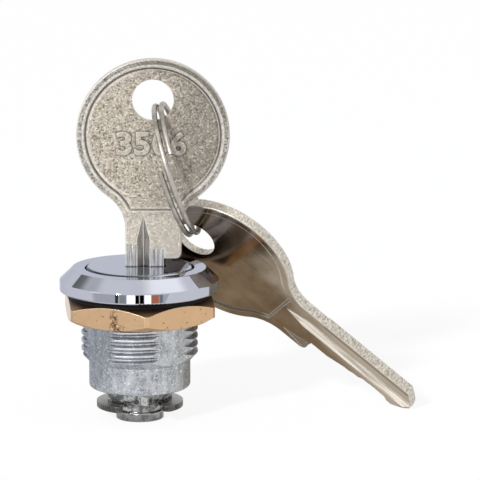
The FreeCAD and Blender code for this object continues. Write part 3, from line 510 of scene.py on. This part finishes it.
NICKEL_WARM = (0.43, 0.365, 0.275)
NICKEL_GRAIN = (0.60, 0.545, 0.465)
NICKEL_SHADE = (0.23, 0.21, 0.18)
NICKEL_DARK = (0.15, 0.13, 0.10)
NICKEL_LIGHT = (0.80, 0.75, 0.67)
NICKEL_EDGE = (0.90, 0.86, 0.79)
NICKEL_HOLLOW = (0.10, 0.085, 0.065)
RIM_DARK = (0.12, 0.113, 0.10)
RIM_LIGHT = (0.58, 0.555, 0.505)
INNER_DARK = (0.14, 0.125, 0.10)
MILLED_DARK = (0.40, 0.39, 0.36)
MILLED_LIGHT = (0.86, 0.85, 0.82)
POLISHED = (0.40, 0.335, 0.265)
POLISHED_DARK = (0.24, 0.19, 0.135)
POLISHED_BLADE = (0.43, 0.365, 0.295)
HAIRLINE = (0.55, 0.49, 0.42)
GROUND_DARK = (0.31, 0.28, 0.235)
GROUND_LIGHT = (0.74, 0.69, 0.615)
GROOVE_DARK = (0.20, 0.185, 0.165)
GROOVE_LIGHT = (0.36, 0.33, 0.30)
GROOVE_SHADE = (0.10, 0.10, 0.085)
BACK_GROOVE_DARK = (0.44, 0.38, 0.31)
BACK_GROOVE_LIGHT = (0.85, 0.79, 0.70)
BACK_GROOVE_SHADE = (0.28, 0.235, 0.18)
SHOULDER_GROOVE = (0.17, 0.135, 0.095)
WALL_FRONT = (0.12, 0.105, 0.085)
WALL_DARK = (0.26, 0.22, 0.17)
WALL_LIT = (0.74, 0.69, 0.61)
WALL_FOOT = (0.10, 0.08, 0.055)
DIGIT = (0.63, 0.58, 0.505)

# Bands on a key, each from where its effect starts to where it is full. Levels are
# distances from the blade's middle plane.
RIM_LEVEL = (0.98 * MM, 1.04 * MM)
SUNK_LEVEL = (1.07 * MM, 1.03 * MM)
SHOULDER_LEVEL = (1.065 * MM, 1.03 * MM)
DIGIT_DEPTH = (-0.80 * MM, -0.92 * MM)
ROUND_HEIGHT = (11.6 * MM, 11.8 * MM)
RUBBED_HEIGHT = (11.5 * MM, 13.5 * MM)
NECK_HEIGHT = (12 * MM, 7 * MM)
BOW_HEIGHT = (GROOVE_TOP, GROOVE_TOP + 0.3 * MM)
WALL_HEIGHT = (GROOVE_TOP, GROOVE_TOP + 0.2 * MM)
GROOVE_HEIGHT = (GROOVE_TOP, GROOVE_TOP - 0.2 * MM)
GROOVE_FOOT = (1.2 * MM, -0.4 * MM)
SHOULDER_HEIGHT = (7.5 * MM, 7.0 * MM)
BLADE_HEIGHT = (8 * MM, -6 * MM)
BLADE_TOP = (1.5 * MM, 0.5 * MM)
SHOULDER_SIDE = (2.5 * MM, 2.8 * MM)
SHADED_GROOVE_SIDE = (2.5 * MM, 3.0 * MM)
NUMBER_REACH = (11.5 * MM, 11 * MM)

# Lines on a key: how far in from the bow's outline or across the blade the middle
# lies, and the reaches where the line starts and is full.
RIDGE_HIGHLIGHT = (1.18 * MM, (0.26 * MM, 0.10 * MM))
INNER_LINE = (2.2 * MM, (0.28 * MM, 0.12 * MM))
BESIDE_LINE = (-3.2 * MM, (0.3 * MM, 0.2 * MM))

# How fast the front is painted darker, as painted shade, from its left to its right.
SHADING_PER_METRE = 48.0

# The milled end of the blade: its tops left and right of the step, and its right side.
MILLED_TOPS = (2.7 * MM, 2.7 * MM - 0.8 * MM)
MILLED_STEP = (-0.47 * MM, -0.27 * MM)
MILLED_SOFT = (-0.1 * MM, 0.15 * MM)
MILLED_SIDE = (3.72 * MM, 3.66 * MM)


def bow_inset(tree, point, height):
    """How far in from the bow's outline a point of the key lies."""
    reach = []
    for middle in (BOW_MIDDLE, LEFT_FILLET, RIGHT_FILLET):
        moved = vector_math(tree, "SUBTRACT", point, middle)
        reach.append(vector_math(tree, "LENGTH", axes(tree, moved, RIGHT, NONE, UP)))
    round_part = minus(tree, BOW_RADIUS, reach[0])
    neck_part = minus(tree, smaller(tree, reach[1], reach[2]), FILLET_RADIUS)
    return blend_level(tree, spread(tree, height, *ROUND_HEIGHT), neck_part, round_part)


def key_places(tree, origin, *key_axes):
    """Where a point of a key lies and faces in the key's own axes, and its textures."""
    at = SimpleNamespace()
    at.point = axes(tree, vector_math(tree, "SUBTRACT", place(tree), origin), *key_axes)
    parts = add(tree, "ShaderNodeSeparateXYZ", {0: at.point}).outputs
    at.across, at.depth, at.height = parts["X"], parts["Y"], parts["Z"]
    at.level = size_of(tree, at.depth)
    at.side = along(tree, facing(tree), key_axes[1])
    at.flatness = size_of(tree, at.side)
    at.on_back = spread(tree, at.side, -0.2, 0.2)
    at.edge_on = spread(tree, at.flatness, 0.72, 0.42)
    at.from_middle = vector_math(tree, "SUBTRACT", at.point, BOW_MIDDLE)
    at.outward = vector_math(tree, "NORMALIZE", axes(tree, at.from_middle, RIGHT, NONE, UP))
    at.lean = along(tree, axes(tree, facing(tree), *key_axes), at.outward)
    sunk = times(tree, spread(tree, at.level, *SUNK_LEVEL), spread(tree, at.flatness, 0.4, 0.6))
    at.in_groove = times(tree, sunk, spread(tree, at.height, *GROOVE_HEIGHT))
    at.grain = grains(tree, at.point, 3900)
    at.mottle = noise(tree, at.point, 2300, detail=4, roughness=0.7)
    at.brushing = noise(tree, axes(tree, at.point, RIGHT, AWAY, (0, 0, 0.07)), 2600)
    at.hair = noise(tree, axes(tree, at.point, RIGHT, AWAY, (0, 0, 0.05)), 2600)
    at.haze = noise(tree, at.point, 150, detail=4, roughness=0.6)
    at.speckle = noise(tree, axes(tree, at.point, RIGHT, (0, 0.4, 0), UP), 3900, roughness=0.6)
    return at


def milled_share(tree, at):
    """Where the front of the blade is milled: under a stepped line, left of its shoulder."""
    top = spread(tree, at.across, *MILLED_STEP, *MILLED_TOPS)
    under = spread(tree, minus(tree, top, at.height), *MILLED_SOFT)
    return times(tree, under, spread(tree, at.across, *MILLED_SIDE))


def key_front(tree, at, milled):
    """The blasted front, where each grain catches the light its own way.

    It is painted darker to the right as shade. Its rim is rubbed, and dark at the upper right.
    A painted highlight stands for a ridge outside the recess's wall, and a fainter painted line
    inside it is lit on the left and shaded on the right. The blade is milled.
    """
    cloud = noise(tree, at.point, 230, detail=4, roughness=0.6)
    shade_to_right = plus(tree, times(tree, at.across, SHADING_PER_METRE), cloud)
    shade_to_right = spread(tree, shade_to_right, 0.40, 0.95, 0.05, 0.75)
    lit = times(tree, spread(tree, at.grain, 0.7, 1.0), minus(tree, 0.9, times(tree, shade_to_right, 0.55)))
    rubbed = times(tree, spread(tree, at.level, *RIM_LEVEL),
                   spread(tree, at.height, *RUBBED_HEIGHT))
    upper_right = spread(tree, along(tree, at.outward, (0.5, 0, 0.87)), 0.45, 0.95, 0.0, 0.7)
    inset = bow_inset(tree, at.point, at.height)
    bowed = times(tree, spread(tree, at.height, *BOW_HEIGHT),
                  spread(tree, at.mottle, 0.36, 0.62, 0.45, 1.0))
    rightward = spread(tree, along(tree, at.outward, (0.94, 0, 0.34)), -0.1, 0.5)
    return coat(tree, NICKEL_WARM,
                (spread(tree, at.mottle, 0.36, 0.64), NICKEL_GRAIN),
                # Painted shade, growing to the right.
                (shade_to_right, NICKEL_SHADE),
                (spread(tree, at.grain, 0.0, 0.35, 0.9, 0.0), NICKEL_DARK),
                (lit, NICKEL_LIGHT),
                (spread(tree, at.height, *NECK_HEIGHT, 0.0, 0.35), NICKEL_LIGHT),
                (times(tree, rubbed, 0.8), coat(tree, RIM_DARK, (at.grain, RIM_LIGHT))),
                (times(tree, rubbed, upper_right), NICKEL_DARK),
                # Painted light and shade on a line inside the recess's wall: lit on the left,
                # shaded on the right.
                (times(tree, near(tree, inset, *INNER_LINE), bowed, 0.65),
                 coat(tree, NICKEL_EDGE, (rightward, INNER_DARK))),
                # Painted highlight where a ridge outside the recess's wall would catch the light.
                (times(tree, near(tree, inset, *RIDGE_HIGHLIGHT), bowed, 0.75), NICKEL_EDGE),
                (milled, coat(tree, MILLED_DARK,
                              (spread(tree, at.brushing, 0.36, 0.62), MILLED_LIGHT))),
                (at.in_groove, coat(tree, GROOVE_DARK,
                                    (spread(tree, at.brushing, 0.38, 0.6), GROOVE_LIGHT),
                                    (spread(tree, at.height, *GROOVE_FOOT, 0.0, 0.6),
                                     GROOVE_SHADE))))


def key_back(tree, at):
    """The polished and hazed back, painted lighter towards the blade as a painted reflection, with
    pale drawn grooves and a dark line beside them.
    """
    beside = times(tree, near(tree, at.across, *BESIDE_LINE), spread(tree, at.height, *BLADE_TOP))
    shoulder = times(tree, spread(tree, at.level, *SHOULDER_LEVEL),
                     spread(tree, at.across, *SHOULDER_SIDE),
                     spread(tree, at.height, *SHOULDER_HEIGHT))
    return coat(tree, POLISHED_DARK,
                (spread(tree, at.haze, 0.35, 0.65), POLISHED),
                # Painted reflection: lighter towards the blade, darker at the bow.
                (spread(tree, at.height, *BLADE_HEIGHT, 0.0, 0.8), POLISHED_BLADE),
                (beside, POLISHED_DARK),
                (spread(tree, at.hair, 0.55, 0.8, 0.0, 0.4), HAIRLINE),
                (at.in_groove, coat(tree, BACK_GROOVE_DARK,
                                    (spread(tree, at.hair, 0.36, 0.62), BACK_GROOVE_LIGHT),
                                    (spread(tree, at.across, *SHADED_GROOVE_SIDE, 0.0, 0.8),
                                     BACK_GROOVE_SHADE))),
                (shoulder, SHOULDER_GROOVE))


def recess_wall(tree, at):
    """Where the wall slopes, its painted light and shade, and where its back is lit pale."""
    wall = times(tree, spread(tree, at.lean, -0.3, -0.45), spread(tree, at.flatness, 0.6, 0.7),
                 spread(tree, at.height, *WALL_HEIGHT))
    # Painted light: the wall's back is pale on the left of the bow.
    pale = spread(tree, along(tree, at.outward, RIGHT), -0.1, -0.5)
    foot = spread(tree, along(tree, at.outward, UP), -0.88, -0.94)
    # Painted shade on the wall, lit on the back's left and darkest at its foot; the front is all
    # shade.
    back = coat(tree, WALL_DARK, (pale, WALL_LIT), (foot, WALL_FOOT))
    return wall, coat(tree, WALL_FRONT, (at.on_back, back)), pale


def key_metal(name, origin, *key_axes):
    """A key's nickel, in the key's own axes, with its front at the low end of the second."""
    material, tree, shader = finish(name)
    at = key_places(tree, origin, *key_axes)
    milled = milled_share(tree, at)
    wall, wall_colour, pale = recess_wall(tree, at)
    hollow = crevices(tree, 0.6 * MM, 0.55, 0.95)
    rounded, edge = soft_edges(tree, 0.24 * MM, full=0.985)

    from_middle = vector_math(tree, "LENGTH", at.from_middle)
    number_zone = times(tree, spread(tree, from_middle, *NUMBER_REACH), at.flatness)
    darker_edge = times(tree, at.on_back, minus(tree, 1.0, pale))
    bright_edge = minus(tree, 0.85, times(tree, number_zone, 0.55))
    bright_edge = minus(tree, bright_edge, times(tree, darker_edge, 0.5))
    proud = times(tree, spread(tree, at.depth, *DIGIT_DEPTH, 0.0, 0.4), number_zone)
    ground = coat(tree, GROUND_DARK, (spread(tree, at.speckle, 0.34, 0.62), GROUND_LIGHT))
    colour = coat(tree, key_front(tree, at, milled),
                  (at.on_back, key_back(tree, at)),
                  (at.edge_on, ground),
                  (times(tree, wall, 0.8), wall_colour),
                  # Painted shade in the crevices.
                  (spread(tree, hollow, 0.45, 1.0), NICKEL_HOLLOW),
                  # Painted highlight: the edges are painted bright, less near the number and on
                  # the back away from the lit left.
                  (times(tree, edge, bright_edge), NICKEL_EDGE),
                  (proud, DIGIT),
                  # Painted shade around the digits.
                  (times(tree, hollow, number_zone), NICKEL_HOLLOW))

    smooth = larger(tree, milled, at.in_groove)
    relief = plus(tree, times(tree, at.grain, 0.8), at.mottle)
    relief = blend_level(tree, smooth, relief, times(tree, at.brushing, 0.5))
    relief = blend_level(tree, at.on_back, relief, times(tree, at.hair, 0.15))
    relief = blend_level(tree, at.edge_on, relief, at.speckle)
    rough = blend_level(tree, smooth, spread(tree, at.grain, 0.0, 1.0, 0.36, 0.55), 0.26)
    rough = blend_level(tree, at.on_back, rough, spread(tree, at.haze, 0.3, 0.7, 0.10, 0.20))
    polished = larger(tree, smooth, at.on_back, at.edge_on)
    dulled = larger(tree, times(tree, at.in_groove, 0.6), times(tree, wall, 0.6))
    dulled = larger(tree, times(tree, dulled, at.on_back), times(tree, edge, 0.4))
    use(tree, shader, Base_Color=colour,
        Roughness=blend_level(tree, at.edge_on, rough, 0.36),
        Metallic=minus(tree, blend_level(tree, polished, 0.5, 1.0), dulled),
        Normal=bump(tree, relief, 0.05 * MM, under=rounded))
    return material


dress("housing", chrome_and_zinc())
dress("face_disc", chrome_disc())
black = rubber()
dress("panel_gasket", black)
dress("plug_seal", black)
dress("hex_nut", brass_nut())
dress("plug", cast_zinc())
dress("retaining_clip", clip_steel())
nickel = key_metal("key_nickel", *KEY_PLACE)
dress("key_in_lock", nickel)
dress("spare_key", key_metal("key_polished", *SPARE_PLACE))
dress("key_ring", drawn_metal("ring_steel", (0.52, 0.49, 0.445), (0.34, 0.315, 0.28), 0.44))
dress("stop_pin", drawn_metal("pin_steel", (0.58, 0.58, 0.57), (0.44, 0.44, 0.43), 0.25))
spring_wire = drawn_metal("spring_steel", (0.56, 0.56, 0.56), (0.36, 0.36, 0.35), 0.25)
wafer_brass = drawn_metal("wafer_brass", (0.70, 0.53, 0.26), (0.52, 0.38, 0.18), 0.32)
for number in range(1, 7):
    dress(f"wafer_{number}", wafer_brass)
    dress(f"wafer_spring_{number}", spring_wire)


# The stamped number.

def stamped_digit(digit, centre):
    """One raised digit with soft shoulders, standing on the key's panel and facing -Y.

    The text is made one unit high and then scaled to the number's size.
    """
    curve = bpy.data.curves.new(f"digit_{digit}", "FONT")
    curve.body = digit
    curve.align_x = "CENTER"
    curve.size = 1.0
    curve.resolution_u = 6
    curve.offset = 0.016
    curve.extrude = 0.02
    curve.bevel_depth = 0.02
    curve.bevel_resolution = 3
    text = bpy.data.objects.new(f"digit_{digit}_text", curve)
    bpy.context.scene.collection.objects.link(text)
    bpy.context.view_layer.update()
    evaluated = text.evaluated_get(bpy.context.evaluated_depsgraph_get())
    mesh = bpy.data.meshes.new_from_object(evaluated)
    bpy.data.objects.remove(text)
    low = [min(v.co[i] for v in mesh.vertices) for i in range(3)]
    high = [max(v.co[i] for v in mesh.vertices) for i in range(3)]
    wide = NUMBER_WIDTH / (high[0] - low[0])
    tall = NUMBER_HEIGHT / (high[1] - low[1])
    deep = 2 * NUMBER_RISE / (high[2] - low[2])
    middle = Vector([(a + b) / 2 for a, b in zip(low, high)])
    for vertex in mesh.vertices:
        flat = vertex.co - middle
        vertex.co = centre + Vector((flat.x * wide, -flat.z * deep, flat.y * tall))
    mesh.update()
    return mesh


def stamp_number():
    for count, digit in enumerate(NUMBER):
        offset = (count - (len(NUMBER) - 1) / 2) * NUMBER_PITCH
        mesh = stamped_digit(digit, NUMBER_CENTRE + Vector((offset, 0, 0)))
        piece = bpy.data.objects.new(f"key_number_{count + 1}", mesh)
        bpy.context.scene.collection.objects.link(piece)
        for polygon in mesh.polygons:
            polygon.use_smooth = True
        mesh.materials.clear()
        mesh.materials.append(nickel)
        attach(piece, "key")


stamp_number()


# Floor, backdrop, light and camera.

FILL = (0.94, 0.96, 1.0, 1)
FILL_STRENGTH = 0.34
PAPER = (0.93, 0.93, 0.93, 1)
WHITE = (1, 1, 1, 1)
FLOOR_GLOW = 1.04
FLOOR_GLOW_SHARE = 0.86
FLOOR_REACH = 3.0
FLOOR_CARD_LIFT = 0.15 * MM
BAR_PLACE = (-100, -16)
BAR_HEIGHT = 14 * MM
CAMERA_SEES = (0.01, 20)


def seen_plainly(tree):
    """One for camera, mirror and glass rays, which see the white background."""
    path = add(tree, "ShaderNodeLightPath").outputs
    seen = plus(tree, path["Is Camera Ray"], path["Is Glossy Ray"])
    return smaller(tree, plus(tree, seen, path["Is Transmission Ray"]), 1.0)


def mix_shader(tree, share, first, second):
    inputs = {0: share, 1: first.outputs[0], 2: second.outputs[0]}
    return add(tree, "ShaderNodeMixShader", inputs)


def make_world():
    world = bpy.data.worlds.new("studio")
    bpy.context.scene.world = world
    world.use_nodes = True
    tree = world.node_tree
    tree.nodes.clear()
    fill = add(tree, "ShaderNodeBackground", {"Color": FILL, "Strength": FILL_STRENGTH})
    white = add(tree, "ShaderNodeBackground", {"Color": WHITE, "Strength": 1.0})
    both = mix_shader(tree, seen_plainly(tree), fill, white)
    add(tree, "ShaderNodeOutputWorld", {"Surface": both.outputs[0]})


def make_sheet(name, half_width, half_depth):
    """A flat sheet in its own XY plane, with an empty material to build on."""
    x, y = half_width, half_depth
    mesh = bpy.data.meshes.new(name)
    mesh.from_pydata([(-x, -y, 0), (x, -y, 0), (x, y, 0), (-x, y, 0)], [], [(0, 1, 2, 3)])
    sheet = bpy.data.objects.new(name, mesh)
    bpy.context.scene.collection.objects.link(sheet)
    material = bpy.data.materials.new(name)
    material.use_nodes = True
    material.node_tree.nodes.clear()
    mesh.materials.append(material)
    return sheet, material.node_tree


def make_floor():
    """A pale table that shades off to white and keeps the shadow."""
    floor, tree = make_sheet("floor", FLOOR_REACH, FLOOR_REACH)
    floor.location = (0, 0, FLOOR_LEVEL)
    paper = add(tree, "ShaderNodeBsdfDiffuse", {"Color": PAPER})
    white = add(tree, "ShaderNodeEmission", {"Color": WHITE, "Strength": FLOOR_GLOW})
    share = times(tree, seen_plainly(tree), FLOOR_GLOW_SHARE)
    both = mix_shader(tree, share, paper, white)
    add(tree, "ShaderNodeOutputMaterial", {"Surface": both.outputs[0]})


def aim(thing, at):
    thing.rotation_mode = "QUATERNION"
    thing.rotation_quaternion = (Vector(at) - thing.location).to_track_quat("-Z", "Y")


def make_lamp(name, lamp, location):
    """Hangs a lamp at a place and aims it at the lock."""
    thing = bpy.data.objects.new(name, lamp)
    thing.location = location
    bpy.context.scene.collection.objects.link(thing)
    aim(thing, (0, 0, 0))
    return thing


def make_softbox(name, location, width, height, power, colour=(1, 1, 1)):
    lamp = bpy.data.lights.new(name, "AREA")
    lamp.shape = "RECTANGLE"
    lamp.size = width
    lamp.size_y = height
    lamp.energy = power
    lamp.color = colour
    return make_lamp(name, lamp, location)


def make_sun(name, direction, strength, degrees):
    lamp = bpy.data.lights.new(name, "SUN")
    lamp.energy = strength
    lamp.angle = math.radians(degrees)
    return make_lamp(name, lamp, direction)


def make_card(name, location, at, size, colour, soft=0.0, far_colour=None):
    """A card that only mirrors see, as photographers hang round chrome.

    Its rim can fade out over a soft width, and its colour can turn into another
    one from its left to its right.
    """
    x, y = size[0] / 2, size[1] / 2
    card, tree = make_sheet(name, x, y)
    card.location = location
    aim(card, at)
    surface = add(tree, "ShaderNodeEmission", {"Color": (*colour, 1), "Strength": 1.0})
    point = place(tree)
    over = along(tree, point, RIGHT)
    if far_colour is not None:
        turned = coat(tree, colour, (spread(tree, over, -x, x), far_colour))
        tree.links.new(turned, surface.inputs["Color"])
    if soft > 0:
        above = size_of(tree, along(tree, point, AWAY))
        kept = times(tree, spread(tree, size_of(tree, over), x, x - soft),
                     spread(tree, above, y, y - soft))
        surface = mix_shader(tree, kept, add(tree, "ShaderNodeBsdfTransparent"), surface)
    add(tree, "ShaderNodeOutputMaterial", {"Surface": surface.outputs[0]})
    card.visible_camera = False
    card.visible_diffuse = False
    card.visible_shadow = False
    card.visible_transmission = False


def make_floor_card(name, low, high, colour, soft, far_colour=None):
    """A card lying just over the table, given by its corners in millimetres."""
    middle = Vector(((low[0] + high[0]) / 2, (low[1] + high[1]) / 2, 0)) * MM
    middle.z = FLOOR_LEVEL + FLOOR_CARD_LIFT
    size = ((high[0] - low[0]) * MM, (high[1] - low[1]) * MM)
    make_card(name, middle, middle + Vector(UP), size, colour, soft * MM, far_colour)


def make_bar(name, low, high, colour):
    """A narrow upright card before the flange, between two places across in millimetres."""
    middle = Vector(((low + high) / 2, *BAR_PLACE)) * MM
    size = ((high - low) * MM, BAR_HEIGHT)
    make_card(name, middle, middle + Vector(AWAY), size, colour)


# Hanging cards: name, place, size, colour, soft rim and the colour at the far side.
HUNG_CARDS = (
    ("wedge_card", (-0.545, 0.43, 0.565), (0.29, 0.27), (0.13, 0.13, 0.12), 0.02,
     (0.36, 0.36, 0.35)),
    ("left_card", (-0.49, 0.22, 0.66), (0.34, 0.34), (0.72, 0.72, 0.71), 0.1, None),
    ("right_card", (0.30, 0.02, 0.78), (0.5, 0.6), (1.5, 1.5, 1.46), 0.14, None),
)
HUNG_CARDS_AIM = (0, 0, 0.003)

# The bands in the flange's mirror: name, left and right end in millimetres, colour.
BARS = (
    ("black_bar", -61, -51, (0.05, 0.06, 0.06)),
    ("green_bar", -47, -29, (0.40, 0.43, 0.41)),
    ("white_bar_left", -27, -7, (2.1, 2.1, 2.15)),
    ("dark_bar_left", -6.5, 2, (0, 0, 0)),
    ("dark_bar_right", 3.5, 13.5, (0, 0, 0)),
    ("white_bar_right", 14.5, 31, (2.1, 2.1, 2.15)),
    ("brown_bar", 31, 53, (0.66, 0.25, 0.14)),
    ("grey_bar", 54, 66, (0.30, 0.31, 0.30)),
    ("green_bar_right", 66, 110, (0.62, 0.68, 0.68)),
)

# Cards on the table: name, two corners, colour, soft rim and colour at the far side.
FLOOR_CARDS = (
    # The brown card is a painted reflection of the table in shade under the keys.
    ("brown_card", (-25, 8), (48, 62), (0.40, 0.325, 0.225), 2.0, (0.54, 0.45, 0.36)),
    ("blue_card", (-116, -40), (-28, 40), (0.36, 0.40, 0.47), 15.0),
    ("left_front_card", (-150, -150), (-45, -50), (0.66, 0.66, 0.68), 15.0),
    ("front_card", (-260, -620), (300, -165), (0.50, 0.49, 0.47), 25.0),
)

make_world()
make_floor()
make_sun("key_light", (-0.6, -1.0, 0.7), strength=2.5, degrees=6)
ceiling = make_softbox("ceiling_softbox", (0.12, -0.1, 0.85), width=0.9, height=0.6, power=0.55)
ceiling.visible_glossy = False
make_softbox("left_softbox", (-0.8, -0.35, 0.2), width=0.25, height=0.5, power=0.2,
             colour=(0.75, 0.86, 1.0))
for card_name, spot, card_size, card_colour, rim, far in HUNG_CARDS:
    make_card(card_name, spot, HUNG_CARDS_AIM, card_size, card_colour, rim, far)
for bar in BARS:
    make_bar(*bar)
for floor_card in FLOOR_CARDS:
    make_floor_card(*floor_card)


def make_camera():
    camera = bpy.data.cameras.new("camera")
    camera.sensor_width = SENSOR
    camera.lens = LENS
    camera.clip_start, camera.clip_end = CAMERA_SEES
    thing = bpy.data.objects.new("camera", camera)
    thing.location = AIM + Vector((0, -math.cos(ELEVATION), math.sin(ELEVATION))) * DISTANCE
    bpy.context.scene.collection.objects.link(thing)
    aim(thing, AIM)
    bpy.context.scene.camera = thing


make_camera()
bpy.context.scene.view_settings.view_transform = "Standard"
